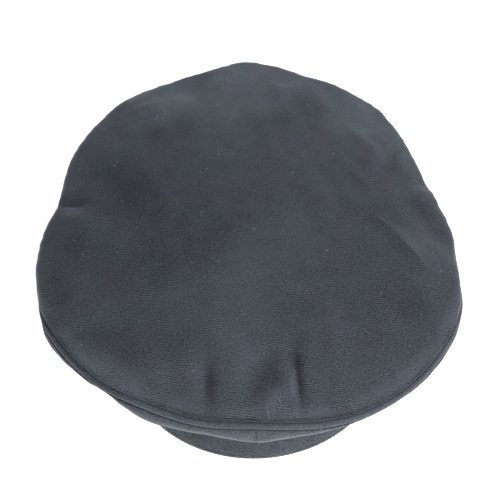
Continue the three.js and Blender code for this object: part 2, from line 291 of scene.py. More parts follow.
@dataclass(frozen=True)
class CapForm:
    """The form of the cap as worn, in millimetres: what every cloth piece is cut to."""

    head_half_width: float = 82.0
    head_half_depth: float = 98.0
    band_wall: float = 3.0
    band_height: float = 45.0
    gap: float = 0.3
    lean: float = math.radians(7)
    mean_height: float = 74.0
    front_lift: float = 14.0
    saddle: float = 4.0
    middle_height: float = 82.0
    even_radius: float = 126.0
    cloth: float = 2.0
    cord_radius: float = 2.0
    seam_gap: float = 0.06
    foot_rise: float = 12.0

    def outline(self, column: str, degrees: Array) -> Array:
        """Returns a column of the outline's table at each angle."""
        return RoundTable(OUTLINE, column)(degrees)

    def edge(self, column: str, degrees: Array) -> Array:
        """Returns a column of the edge's table at each angle."""
        return RoundTable(EDGE, column)(degrees)

    @property
    def heel(self) -> float:
        """How far behind the head's middle the back of the band stands."""
        return self.head_half_depth + self.band_wall

    @staticmethod
    def around(degrees: Array, out: Array, height: Array) -> Array:
        """Returns points at a distance out from the head's middle, in degrees from the front."""
        angle = np.radians(degrees)
        return np.stack(np.broadcast_arrays(out * np.sin(angle), -out * np.cos(angle), height), -1)

    def head_radius(self, degrees: Array, wall: float) -> Array:
        """Returns the distance from the middle to an oval round the head, a wall outside its opening."""
        angle = np.radians(degrees)
        across = np.sin(angle) / (self.head_half_width + wall)
        along = np.cos(angle) / (self.head_half_depth + wall)
        return 1 / np.hypot(across, along)

    def roll_centre(self, degrees: Array) -> Section:
        """Returns how far out and how high the middle of the disc's rolled edge lies."""
        angle = np.radians(degrees)
        height = self.mean_height + self.front_lift * np.cos(angle) + self.saddle * np.cos(2 * angle)
        out = self.outline("radius", degrees) - self.edge("roll", degrees)
        return out, height + self.outline("lift", degrees)

    def disc_margin(self, degrees: Array) -> Section:
        """Returns how far out and how high the disc is where its rolled edge starts."""
        out, height = self.roll_centre(degrees)
        across, up = heading(90 - self.edge("fall", degrees))
        roll = self.edge("roll", degrees)
        return out + roll * across, height + roll * up

    def disc(self, degrees: Array, travel: Array) -> Array:
        """Returns the disc's face, without its folds.

        Args:
            degrees: angle round the cap.
            travel: 0 at the middle of the disc and 1 where its rolled edge starts.

        Returns:
            Points of the worn cap.
        """
        angle = np.radians(degrees)
        out, height = self.disc_margin(degrees)
        lift = self.front_lift * np.cos(angle)
        saddle = self.saddle * np.cos(2 * angle)
        rise = height - self.middle_height - lift - saddle
        slope = -out * np.tan(np.radians(self.edge("fall", degrees))) - lift - 2 * saddle
        droop = (slope - 4 * rise) / 2
        level = (self.middle_height + lift * travel + saddle * travel**2
                 + (rise - droop) * travel**4 + droop * travel**6)
        reach = travel * (self.even_radius + (out - self.even_radius) * travel**2)
        return self.around(degrees, reach, level)

    def welt_centre(self, degrees: Array) -> Section:
        """Returns how far out and how high the welt's cord runs."""
        out, height = self.roll_centre(degrees)
        across, up = heading(self.edge("turn", degrees))
        wall = self.edge("roll", degrees) - self.cloth / 2
        step = self.cord_radius + self.seam_gap
        return out + wall * across + step * up, height + wall * up - step * across

    def quarter_section(self, degrees: Array, t: Array) -> tuple[Section, Section]:
        """The middle of a quarter's wall, a curve from the welt down to the band.

        Args:
            degrees: angle round the cap.
            t: 0 at the welt, 1 at the band's top.

        Returns:
            The points of the curve and the unit directions in which it runs.
        """
        across, up = heading(self.edge("leave", degrees))
        out, height = self.welt_centre(degrees)
        step = self.cord_radius + self.seam_gap
        fullness = self.edge("fullness", degrees)
        band = self.head_radius(degrees, self.band_wall / 2)
        foot = self.band_height + self.gap
        bend = (
            (out + step * across, out + (step + fullness) * across, band, band),
            (height + step * up, height + (step + fullness) * up, foot + self.foot_rise, foot),
        )
        point, along = [], []
        for a, b, c, d in bend:
            point.append((1 - t)**3 * a + 3 * (1 - t)**2 * t * b + 3 * (1 - t) * t**2 * c + t**3 * d)
            along.append(3 * (1 - t)**2 * (b - a) + 6 * (1 - t) * t * (c - b) + 3 * t**2 * (d - c))
        length = np.hypot(*along)
        return (point[0], point[1]), (along[0] / length, along[1] / length)

    def table_height(self, y: Array) -> Array:
        """Returns the height of the table under the leaning cap."""
        return -(self.heel - y) * math.tan(self.lean)

    def middle_in_frame(self) -> tuple[float, float]:
        """Returns where the head's middle lies in the frame, read from the band's own box."""
        low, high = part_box("band")
        back = high[1] / MM - self.heel - self.band_height * math.sin(self.lean)
        return (low[0] + high[0]) / 2 / MM, back

    def at_rest(self, worn: Array) -> Array:
        """Leans the worn cap back about the foot of its band, as it rests.

        Args:
            worn: points of the cap as worn, in millimetres.

        Returns:
            Points in the frame, in metres.
        """
        shift = self.middle_in_frame()
        back, up = worn[..., 1] - self.heel, worn[..., 2]
        x = worn[..., 0] + shift[0]
        y = self.heel + back * math.cos(self.lean) + up * math.sin(self.lean) + shift[1]
        z = -back * math.sin(self.lean) + up * math.cos(self.lean)
        return np.stack([x, y, z], -1) * MM


FORM = CapForm()


def set_inputs(node: bpy.types.Node, values: dict[str, object]) -> None:
    """Sets plain values on a node's own inputs, by their names."""
    for name, value in values.items():
        node.inputs[name].default_value = value


class NodeBoard:
    """A node tree with short calls for adding and joining its nodes, laid out in rows."""

    PER_ROW = 8
    STEP_ACROSS = 220
    STEP_DOWN = 190

    def __init__(self, tree: bpy.types.NodeTree) -> None:
        """Keeps the tree and how many nodes were added."""
        self.tree = tree
        self.count = 0

    def add(self, kind: str, *feeds: object, **settings: object) -> bpy.types.Node:
        """Adds a node.

        Args:
            kind: the node's type.
            feeds: values or output sockets for its first inputs, None to leave one alone.
            settings: properties of the node to set.

        Returns:
            The node.
        """
        node = self.tree.nodes.new(kind)
        row, column = divmod(self.count, self.PER_ROW)
        node.location = (self.STEP_ACROSS * column, -self.STEP_DOWN * row)
        self.count += 1
        for name, value in settings.items():
            setattr(node, name, value)
        self.feed_all(node.inputs, feeds)
        return node

    def feed_all(self, sockets: Iterable[bpy.types.NodeSocket], values: Iterable[object]) -> None:
        """Feeds sockets in their order."""
        for socket, value in zip(sockets, values):
            self.feed(socket, value)

    def feed(self, socket: bpy.types.NodeSocket, value: object) -> None:
        """Joins an output socket to an input, or sets its plain value; None leaves it alone."""
        if isinstance(value, bpy.types.NodeSocket):
            self.tree.links.new(value, socket)
        elif value is not None:
            socket.default_value = value

    def math(self, operation: str, *feeds: object) -> bpy.types.NodeSocket:
        """Adds a Math node and returns its output."""
        return self.add("ShaderNodeMath", *feeds, operation=operation).outputs[0]

    def noise(self, vector: object, size: float, detail: float = 2.0) -> bpy.types.NodeSocket:
        """Adds a noise.

        Args:
            vector: where it is read.
            size: size of its patches, in the units of the vector.
            detail: how many finer layers it has.

        Returns:
            The noise less its middle value, so that it lies round 0.
        """
        node = self.add("ShaderNodeTexNoise")
        self.feed(node.inputs["Vector"], vector)
        set_inputs(node, {"Scale": 1 / size, "Detail": detail})
        return self.math("SUBTRACT", node.outputs[0], 0.5)

    def turned(self, vector: object, angle: object, back: bool = False) -> Sequence[bpy.types.NodeSocket]:
        """Turns a vector about Z, or back by the same angle, and returns its three parts."""
        node = self.add("ShaderNodeVectorRotate", rotation_type="Z_AXIS", invert=back)
        self.feed(node.inputs["Vector"], vector)
        self.feed(node.inputs["Angle"], angle)
        return self.add("ShaderNodeSeparateXYZ", node.outputs[0]).outputs

    def ramp(self, value: object, low: float, high: float) -> bpy.types.NodeSocket:
        """Adds a smooth step from 0 at low to 1 at high and returns its output."""
        node = self.add("ShaderNodeMapRange", value, low, high, interpolation_type="SMOOTHSTEP")
        return node.outputs[0]


VALUE, VECTOR = "NodeSocketFloat", "NodeSocketVector"

# How much the dye leans toward violet where its noise is high and toward green where it is low.
HUE_SHIFT = (0.013, -0.006, 0.010)

SHEEN_TINT = (0.80, 0.88, 1.0, 1.0)
WHITE = (1.0, 1.0, 1.0, 1.0)

# The sizes of the patches where the hue shifts, the ribs show and the edges are worn and painted lighter, in
# metres.
HUE_SIZE = 0.024
WORN_SIZE = 0.021
EDGE_WEAR_AND_LIGHT_SIZE = 0.018

# The distance between the cells that may hold a thread of lint, in metres.
LINT_SPACING = 0.0095

# The attribute that holds how far each place is from the piece's sewn edge or rim, in metres. Where
# there is none it is FAR, in millimetres.
FROM_EDGE = "from_edge"
FAR = 100.0

# Where the painted shade beside a seam, the ridge next to it and a rim, both partly rubbed and partly
# painted highlight, start and end, in metres.
SEAM_LINE = (0.0002, 0.0014)
RIDGE_START = (0.0010, 0.0024)
RIDGE_END = (0.0040, 0.0100)
RIM_LINE = (0.0022, 0.0036)


class ClothEffects:
    """Shader node groups that the cap's finishes share.

    Sizes of noises are in metres and of lint threads in the spacing of its cells. RIB_DRIFT is how far
    the ribs wander, in ribs, and YARN_SCALES how finely yarns break up along and across them. A thread
    bows by up to THREAD_BOW half widths, and a cell whose chance is below THREAD_CHANCE has none.
    """

    RIB_DRIFT = 2.4
    RIB_DRIFT_SIZE = 0.012
    YARN_SCALES = (0.9, 1.5)
    FIBRE_SIZE = 0.0009
    SHADE_SIZES = (0.055, 0.011, 0.0022)
    THREAD_LONG = 0.17
    THREAD_WIDE = 0.026
    THREAD_BOW = 4.0
    THREAD_CHANCE = 0.72

    def __init__(self) -> None:
        """Builds the groups once."""
        self.twill = self.build_twill()
        self.shade = self.build_shade()
        self.lint = self.build_lint()
        self.mark = self.build_mark()

    @staticmethod
    def start_group(name: str, inputs: dict[str, str], outputs: dict[str, str]) -> tuple[
            NodeBoard, Sequence[bpy.types.NodeSocket], Sequence[bpy.types.NodeSocket]]:
        """Starts a shader node group.

        Args:
            name: the group's name.
            inputs: names and socket types of its inputs.
            outputs: names and socket types of its outputs.

        Returns:
            Its board, the sockets that its inputs give and the sockets that its outputs take.
        """
        tree = bpy.data.node_groups.new(name, "ShaderNodeTree")
        for direction, sockets in (("INPUT", inputs), ("OUTPUT", outputs)):
            for socket, kind in sockets.items():
                tree.interface.new_socket(socket, in_out=direction, socket_type=kind)
        board = NodeBoard(tree)
        return board, board.add("NodeGroupInput").outputs, board.add("NodeGroupOutput").inputs

    def build_twill(self) -> bpy.types.NodeTree:
        """Builds a twill weave: slanting ribs broken into yarns, with loose fibres over them.

        Returns:
            A group that gives the ribs, the yarns and the fibres, each round 0.
        """
        board, given, taken = self.start_group(
            "twill weave", {"Weave": VECTOR, "Pitch": VALUE, "Heading": VALUE},
            {"Ribs": VALUE, "Yarns": VALUE, "Fibres": VALUE})
        weave, pitch, turn = given[0], given[1], given[2]
        parts = board.turned(weave, turn)
        along, across = (board.math("DIVIDE", parts[i], pitch) for i in range(2))
        drift = board.noise(weave, self.RIB_DRIFT_SIZE, 3.0)
        phase = board.math("MULTIPLY_ADD", drift, self.RIB_DRIFT, across)
        wave = board.math("SINE", board.math("MULTIPLY", phase, 2 * math.pi))
        ribs = board.math("MULTIPLY", wave, 0.5)
        scaled = [board.math("MULTIPLY", part, scale)
                  for part, scale in zip((along, phase), self.YARN_SCALES)]
        yarns = board.noise(board.add("ShaderNodeCombineXYZ", *scaled).outputs[0], 1.0)
        board.feed_all(taken, (ribs, yarns, board.noise(weave, self.FIBRE_SIZE, 4.0)))
        return board.tree

    def build_shade(self) -> bpy.types.NodeTree:
        """Builds the uneven shade of worn, brushed wool.

        Returns:
            A group that gives broad clouds, patches and small flecks, each round 0.
        """
        board, given, taken = self.start_group(
            "worn wool shade", {"Place": VECTOR}, {"Clouds": VALUE, "Patches": VALUE, "Flecks": VALUE})
        board.feed_all(taken, [board.noise(given[0], size, 2.5) for size in self.SHADE_SIZES])
        return board.tree

    @staticmethod
    def bent_line(board: NodeBoard, away: object, turn: object, long: object, wide: object,
                  bend: object, soft_from: float) -> bpy.types.NodeSocket:
        """Adds the mask of a short line, slim or broad, straight or bent.

        Args:
            board: the group's board.
            away: the way from the line's middle to the place.
            turn: the line's heading.
            long: half its length.
            wide: half its width.
            bend: how far it bows, in half widths.
            soft_from: where between its middle, 0, and its edge, 1, it starts to fade.

        Returns:
            A socket that gives 1 on the line and 0 off it.
        """
        parts = board.turned(away, turn, back=True)
        u = board.math("DIVIDE", parts[0], long)
        u_squared = board.math("MULTIPLY", u, u)
        v = board.math("MULTIPLY_ADD", u_squared, bend, board.math("DIVIDE", parts[1], wide))
        spread = board.math("MULTIPLY_ADD", v, v, u_squared)
        return board.math("SUBTRACT", 1.0, board.ramp(spread, soft_from, 1.0))

    def build_lint(self) -> bpy.types.NodeTree:
        """Builds scattered threads of lint: a bent line in some cells of an uneven pattern.

        Returns:
            A group that gives the threads, from 0 to 1.
        """
        board, given, taken = self.start_group(
            "lint", {"Weave": VECTOR, "Spacing": VALUE}, {"Threads": VALUE})
        steps = board.add("ShaderNodeVectorMath", given[0], operation="SCALE")
        board.feed(steps.inputs["Scale"], board.math("DIVIDE", 1.0, given[1]))
        cells = board.add("ShaderNodeTexVoronoi", voronoi_dimensions="2D")
        board.feed(cells.inputs["Vector"], steps.outputs[0])
        set_inputs(cells, {"Scale": 1.0, "Randomness": 0.7})
        away = board.add("ShaderNodeVectorMath", steps.outputs[0], cells.outputs["Position"],
                         operation="SUBTRACT")
        chance = board.add("ShaderNodeSeparateColor", cells.outputs["Color"]).outputs
        turn = board.math("MULTIPLY", chance[0], 2 * math.pi)
        bend = board.math("MULTIPLY_ADD", chance[2], 2 * self.THREAD_BOW, -self.THREAD_BOW)
        line = self.bent_line(board, away.outputs[0], turn, self.THREAD_LONG, self.THREAD_WIDE, bend, 0.1)
        present = board.ramp(chance[1], self.THREAD_CHANCE, 1.0)
        board.feed(taken[0], board.math("MULTIPLY", line, present))
        return board.tree

    def build_mark(self) -> bpy.types.NodeTree:
        """Builds a mask for one mark, such as a thread of lint, a painted highlight along a crease or a
        patch of painted light and shade.

        Returns:
            A group that gives 1 on the mark and 0 off it.
        """
        board, given, taken = self.start_group(
            "mark on cloth", {"Weave": VECTOR, "Middle": VECTOR, "Heading": VALUE, "Long": VALUE,
                              "Wide": VALUE, "Bend": VALUE}, {"Mask": VALUE})
        weave, middle, *line = (given[i] for i in range(6))
        away = board.add("ShaderNodeVectorMath", weave, middle, operation="SUBTRACT")
        board.feed(taken[0], self.bent_line(board, away.outputs[0], *line, 0.02))
        return board.tree


@dataclass(frozen=True)
class Mark:
    """A mark on the cloth, in millimetres of its weave map; heading in degrees from +X."""

    x: float
    y: float
    heading: float
    long: float
    wide: float
    light: float
    bend: float = 1.2

    def mask(self, board: NodeBoard, effects: ClothEffects, weave: object) -> bpy.types.NodeSocket:
        """Places the mark's mask in a material and returns it."""
        middle = (self.x * MM, self.y * MM, 0.0)
        node = board.add("ShaderNodeGroup", weave, middle, math.radians(self.heading), self.long * MM,
                         self.wide * MM, self.bend, node_tree=effects.mark)
        return node.outputs[0]


def soft_patches(*rows: tuple[float, ...]) -> tuple[Mark, ...]:
    """Returns straight marks, one for each row of a Mark's values without its bend."""
    return tuple(Mark(*row, bend=0.0) for row in rows)


# Patches of painted light and painted shade on the disc: painted light, mostly over its back and front
# margins, and painted shade, mostly on its left middle and in the hollows of its folds.
DISC_PAINTED_LIGHT_AND_SHADE = soft_patches(
    (-82, 22, -40, 46, 26, -0.20), (-42, -22, 20, 42, 30, -0.16), (0, 98, 5, 68, 32, 0.42),
    (-58, 88, 35, 38, 22, 0.38), (76, 66, -45, 50, 26, 0.30), (8, -28, 10, 42, 26, 0.10),
    (0, -112, 0, 110, 34, 0.26), (-82, -102, -40, 42, 17, 0.46), (-62, 4, 0, 80, 56, -0.14),
    (7, -102, 44, 19, 13, -0.34), (-38, -118, 12, 24, 7, 0.18), (21.5, -94, 110, 8, 4.5, -0.26),
    (-25.5, -108, 90, 14, 5, -0.18), (72, 80, -45, 32, 16, 0.24), (-12, 112, 0, 34, 14, 0.22),
    (-112, -34, 80, 30, 14, -0.22), (89, -62, -60, 28, 15, -0.22), (-6, -66, 90, 40, 26, 0.22),
    (-31, 108, 29, 20, 10, -0.17), (-66, 65, -20, 25, 17, -0.12), (41, 80, 0, 17, 14, -0.10),
    (110, 1, -60, 13, 8, -0.17),
)

# Painted shade on the quarters and the welt toward the sides of the cap. The quarters are paler just under
# the welt and darker below that at the front, with a painted shadow along the front seam and a painted
# highlight just right of it; painted shade runs along the welt's outer side.
QUARTER_PAINTED_SHADE_AND_LIGHT = soft_patches(
    (-106, -14, 0, 84, 60, -0.46), (96, -14, 0, 82, 60, -0.52), (-12, -1, 0, 75, 4, 0.15),
    (-3, -7.5, 0, 38, 6, -0.22), (-1.65, -8, 90, 12, 0.9, -0.42), (-0.1, -8, 90, 12, 0.9, 0.20),
)
WELT_PAINTED_SHADE = soft_patches(
    (-178, 6, 0, 95, 60, -0.30), (175, 6, 0, 78, 60, -0.22), (20, 0.2, 0, 190, 2.2, -0.15),
    (20, 12.77, 0, 190, 2.2, -0.15),
)

# Lint on the disc, then lighter lines along its raised creases and a lighter patch on the bump at its front:
# painted highlights, with some rubbed nap on the creases.
DISC_LINT_AND_CREASE_HIGHLIGHTS = tuple(Mark(*row) for row in (
    (-58.7, 75.4, 75, 2.4, 0.40, 1.2), (-85.8, 41.6, 10, 1.8, 0.40, 1.6), (-84.4, 44, 70, 2.6, 0.35, 0.9),
    (-26, 33.9, 20, 1.8, 0.40, 1.5), (-29.9, 32, -60, 2.6, 0.35, 0.9), (-29.9, 2.2, 70, 3.2, 0.35, 0.9),
    (2.5, -10.5, 30, 1.2, 0.45, 1.7), (45.4, -27.1, 0, 1.0, 0.50, 2.3), (-23, -29.4, -40, 2.2, 0.38, 1.0),
    (-19.5, -31.5, 35, 2.0, 0.38, 1.0), (74.3, -56.1, 80, 2.4, 0.40, 1.3), (56.2, 43.1, 0, 1.0, 0.45, 1.5),
    (28.8, 29.6, 60, 1.4, 0.38, 1.1), (-69.8, -6, 65, 2.2, 0.38, 1.0), (27.4, -51.1, -75, 2.6, 0.35, 1.0),
    (6.5, -115.5, 35, 13, 8, 0.24, 0.3), (18.8, -109, 92, 9, 1.4, 0.30, 0.0),
    (4.6, -122, -80, 7, 0.50, 0.80, 0.2), (7.8, -119, -72, 7, 0.45, 0.60, 0.2),
    (81.5, -8, -43, 6, 0.7, 0.65, 0.4), (97.5, -30.8, -54.6, 16, 1.3, 0.40, 0.0),
    (112, -43, 30, 2.4, 0.6, 0.6, 3.0),
))


@dataclass(frozen=True)
class SergeFinish:
    """Wool serge: slanting ribs, uneven shade, soft sheen, loose fibres and lint.

    pitch is the distance between ribs in metres, slant their heading in degrees, relief the depth of
    the weave in metres. ribs, yarns, fibres, clouds, patches, flecks and lint say how much each one
    shows in the shade. painted_seam_shade says how much painted shade darkens the cloth right beside a sewn
    edge, and rub how much lighter the ridge next to it is, partly rubbed and partly painted highlight;
    rim_rub_and_highlight is the same for a bare rim. Where bare is given, the nap is thick at its first
    place along the weave map's Y, in metres, and worn thin at its second, so that the weave shows more
    there.
    """

    name: str
    colour: tuple[float, float, float]
    pitch: float = 0.00125
    slant: float = 11.0
    roughness: float = 0.92
    sheen: float = 0.55
    sheen_roughness: float = 0.40
    relief: float = 0.00012
    ribs: float = 1.05
    yarns: float = 1.4
    fibres: float = 2.8
    clouds: float = 0.40
    patches: float = 0.40
    flecks: float = 0.40
    lint: float = 1.5
    # painted_seam_shade paints shade beside sewn edges; rub and rim_rub_and_highlight lighten ridges and
    # rims, partly as rubbed nap and partly as painted highlight.
    painted_seam_shade: float = 0.40
    ridge_rub_and_highlight: float = 0.34
    rim_rub_and_highlight: float = 0.0
    bare: tuple[float, float] | None = None
    marks: tuple[Mark, ...] = ()

    def material(self, effects: ClothEffects) -> bpy.types.Material:
        """Builds the finish's material.

        Args:
            effects: the shared groups.

        Returns:
            The material, reading the piece's weave map and its place.
        """
        material = bpy.data.materials.new(self.name)
        material.use_nodes = True
        board = NodeBoard(material.node_tree)
        shader = material.node_tree.nodes["Principled BSDF"]
        weave = board.add("ShaderNodeUVMap", uv_map="weave").outputs[0]
        place = board.add("ShaderNodeTexCoord").outputs["Object"]
        twill = board.add("ShaderNodeGroup", weave, self.pitch, math.radians(self.slant),
                          node_tree=effects.twill)
        ribs, yarns, fibres = (twill.outputs[i] for i in range(3))
        shade = board.add("ShaderNodeGroup", place, node_tree=effects.shade)
        clouds, patches, flecks = (shade.outputs[i] for i in range(3))
        worn_in = board.ramp(board.noise(weave, WORN_SIZE), -0.12, 0.12)
        if self.bare:
            bare = self.bareness(board, weave)
            worn_in = board.math("MULTIPLY", worn_in, board.math("MULTIPLY", bare, bare))
            yarns = board.math("MULTIPLY", yarns, bare)
            fibres = board.math("MULTIPLY", fibres, bare)
        shown_ribs = board.math("MULTIPLY", ribs, worn_in)
        lint = board.add("ShaderNodeGroup", weave, LINT_SPACING, node_tree=effects.lint)
        parts = [(shown_ribs, self.ribs), (yarns, self.yarns), (fibres, self.fibres), (clouds, self.clouds),
                 (patches, self.patches), (flecks, self.flecks), (lint.outputs[0], self.lint)]
        parts += self.edge_wear_and_painted_light(board, place)
        parts += [(mark.mask(board, effects, weave), mark.light) for mark in self.marks]
        lightness = 1.0
        for part, amount in parts:
            lightness = board.math("MULTIPLY_ADD", part, amount, lightness)
        hue = board.add("ShaderNodeVectorMath", board.noise(place, HUE_SIZE, 1.5), HUE_SHIFT, self.colour,
                        operation="MULTIPLY_ADD")
        colour = board.add("ShaderNodeVectorMath", hue.outputs[0], operation="SCALE")
        board.feed(colour.inputs["Scale"], lightness)
        board.feed(shader.inputs["Base Color"], colour.outputs[0])
        board.feed(shader.inputs["Roughness"], board.math("MULTIPLY_ADD", fibres, 0.15, self.roughness))
        set_inputs(shader, {"Specular IOR Level": 0.25, "Sheen Weight": self.sheen,
                            "Sheen Roughness": self.sheen_roughness, "Sheen Tint": SHEEN_TINT})
        height = board.math("MULTIPLY_ADD", shown_ribs, 0.5, board.math("MULTIPLY_ADD", yarns, 0.8, fibres))
        bump = board.add("ShaderNodeBump")
        set_inputs(bump, {"Distance": self.relief})
        board.feed(bump.inputs["Height"], height)
        board.feed(shader.inputs["Normal"], bump.outputs[0])
        return material

    def bareness(self, board: NodeBoard, weave: object) -> bpy.types.NodeSocket:
        """Adds how far the nap is worn off, from 0.5 where it is thick to 1, and returns it."""
        thick, thin = self.bare
        along = board.add("ShaderNodeSeparateXYZ", weave).outputs[1]
        past_thick = board.math("SUBTRACT", along, thick)
        worn_off = board.ramp(board.math("DIVIDE", past_thick, thin - thick), 0.0, 1.0)
        return board.math("MULTIPLY_ADD", worn_off, 0.5, 0.5)

    def edge_wear_and_painted_light(self, board: NodeBoard, place: object) -> list[tuple[bpy.types.NodeSocket, float]]:
        """Adds painted shade beside the piece's sewn edges and uneven light on the ridge beside them and on
        a rim, partly rubbed nap and partly painted highlight.

        Args:
            board: the material's board.
            place: where the unevenness is read.

        Returns:
            Masks with how much lighter each makes the cloth: the painted shade beside a sewn edge, the ridge
            next to it and a rim, both partly rubbed and partly painted highlight.
        """
        away = board.add("ShaderNodeAttribute", attribute_name=FROM_EDGE).outputs["Fac"]
        uneven = board.ramp(board.noise(place, EDGE_WEAR_AND_LIGHT_SIZE), -0.22, 0.10)
        line = board.math("SUBTRACT", 1.0, board.ramp(away, *SEAM_LINE))
        ridge = board.math("SUBTRACT", board.ramp(away, *RIDGE_START), board.ramp(away, *RIDGE_END))
        rim = board.math("SUBTRACT", 1.0, board.ramp(away, *RIM_LINE))
        return [(line, -self.painted_seam_shade), (board.math("MULTIPLY", ridge, uneven), self.ridge_rub_and_highlight),
                (board.math("MULTIPLY", rim, uneven), self.rim_rub_and_highlight)]


class Facing(Enum):
    """Which side of a piece is its outer side."""

    UP = "the side that faces up"
    OUT = "the side that faces away from the head"
    CLOSED = "all of it, because it is a closed body"


def deselect() -> None:
    """Leaves edit mode and deselects everything, because loading the frame leaves its nodes selected."""
    if bpy.context.object and bpy.context.object.mode != "OBJECT":
        bpy.ops.object.mode_set(mode="OBJECT")
    bpy.ops.object.select_all(action="DESELECT")


def select_only(piece: bpy.types.Object) -> None:
    """Selects one piece and makes it the active one."""
    deselect()
    piece.select_set(True)
    bpy.context.view_layer.objects.active = piece


@dataclass
class CapPart(ABC):
    """A sewn part of the cap: a fine grid laid over the form, joined, turned outward and dressed."""

    name: str
    node: str
    slot: str
    finish: SergeFinish
    columns: int
    rows: int
    facing: Facing = Facing.OUT
    wall: float = 1.1

    @abstractmethod
    def surface(self, u: Array, v: Array) -> Array:
        """Returns the part's outer face, in millimetres as worn, for grid places from 0 to 1."""

    @abstractmethod
    def weave_map(self, u: Array, v: Array) -> Array:
        """Returns the place in the flat cloth, in millimetres, for grid places from 0 to 1."""

    def relief(self, u: Array, v: Array) -> Array:
        """Returns how far slight wrinkles lift the face, in millimetres."""
        return np.zeros(np.shape(u))

    def from_edge(self, u: Array, v: Array) -> Array:
        """Returns how far each place is from the sewn edge or rim, in millimetres."""
        return np.full(np.shape(u), FAR)

    def declare(self, piece: bpy.types.Object) -> None:
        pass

    def outward(self, points: Array) -> Array:
        """Returns the rough outward direction at each point."""
        if self.facing is Facing.UP:
            return np.broadcast_to([0.0, 0.0, 1.0], points.shape)
        return points * [1.0, 1.0, 0.0]

    def raised_surface(self, u: Array, v: Array) -> Array:
        """Returns the outer face with its wrinkles, each lifted straight off the face."""
        step = 0.0005
        ahead = self.surface(np.clip(u + step, 0, 1), v) - self.surface(np.clip(u - step, 0, 1), v)
        down = self.surface(u, np.clip(v + step, 0, 1)) - self.surface(u, np.clip(v - step, 0, 1))
        face = self.surface(u, v)
        normal = np.cross(ahead, down)
        size = np.linalg.norm(normal, axis=-1, keepdims=True)
        normal = np.where(size > 1e-9, normal / np.maximum(size, 1e-9), [0.0, 0.0, 1.0])
        inward = (normal * self.outward(face)).sum(-1, keepdims=True) < 0
        return face + np.where(inward, -normal, normal) * self.relief(u, v)[..., None]

    def build(self) -> bpy.types.Object:
        """Builds the part's mesh.

        Returns:
            The piece, with its wall, its weave map, its distance from the edge and smooth shading.
        """
        deselect()
        bpy.ops.mesh.primitive_grid_add(x_subdivisions=self.columns, y_subdivisions=self.rows, size=2.0)
        piece = bpy.context.object
        piece.name = self.name
        mesh = piece.data
        mesh.name = self.name
        flat = np.empty(len(mesh.vertices) * 3)
        mesh.vertices.foreach_get("co", flat)
        u, v = (flat.reshape(-1, 3)[:, 0] + 1) / 2, (flat.reshape(-1, 3)[:, 1] + 1) / 2
        mesh.vertices.foreach_set("co", FORM.at_rest(self.raised_surface(u, v)).ravel())
        away = mesh.attributes.new(FROM_EDGE, "FLOAT", "POINT")
        away.data.foreach_set("value", (self.from_edge(u, v) * MM).astype(np.float32))
        corner = np.empty(len(mesh.loops), np.int32)
        mesh.loops.foreach_get("vertex_index", corner)
        layer = mesh.uv_layers[0]
        layer.name = "weave"
        layer.uv.foreach_set("vector", (self.weave_map(u, v) * MM)[corner].ravel().astype(np.float32))
        mesh.update()
        self.join(piece)
        if self.facing is not Facing.CLOSED:
            self.turn_outward(piece)
            self.give_wall(piece)
        select_only(piece)
        bpy.ops.object.shade_smooth_by_angle(angle=math.radians(SMOOTH_BELOW))
        return piece

    def join(self, piece: bpy.types.Object) -> None:
        """Merges the edges of the grid that meet."""
        select_only(piece)
        bpy.ops.object.mode_set(mode="EDIT")
        bpy.ops.mesh.select_all(action="SELECT")
        bpy.ops.mesh.remove_doubles(threshold=MERGE_WITHIN)
        if self.facing is Facing.CLOSED:
            bpy.ops.mesh.normals_make_consistent(inside=False)
        bpy.ops.object.mode_set(mode="OBJECT")

    def turn_outward(self, piece: bpy.types.Object) -> None:
        """Flips a sheet's faces if most of them point inward."""
        mesh = piece.data
        normal, centre = np.empty(len(mesh.polygons) * 3), np.empty(len(mesh.polygons) * 3)
        mesh.polygons.foreach_get("normal", normal)
        mesh.polygons.foreach_get("center", centre)
        if (normal.reshape(-1, 3) * self.outward(centre.reshape(-1, 3))).sum() > 0:
            return
        bpy.ops.object.mode_set(mode="EDIT")
        bpy.ops.mesh.select_all(action="SELECT")
        bpy.ops.mesh.flip_normals()
        bpy.ops.object.mode_set(mode="OBJECT")

    def give_wall(self, piece: bpy.types.Object) -> None:
        """Gives a sheet its thickness on its inner side."""
        select_only(piece)
        wall = piece.modifiers.new("cloth wall", "SOLIDIFY")
        wall.thickness = self.wall * MM
        wall.offset = -1.0
        bpy.ops.object.modifier_apply(modifier=wall.name)

    def dress(self, piece: bpy.types.Object, effects: ClothEffects) -> None:
        """Gives a piece its finish and its place in the frame.

        Args:
            piece: the built piece.
            effects: the shared shader groups.
        """
        piece.data.materials.append(self.finish.material(effects))
        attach(piece, "root")
        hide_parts(self.node)
        self.declare(piece)


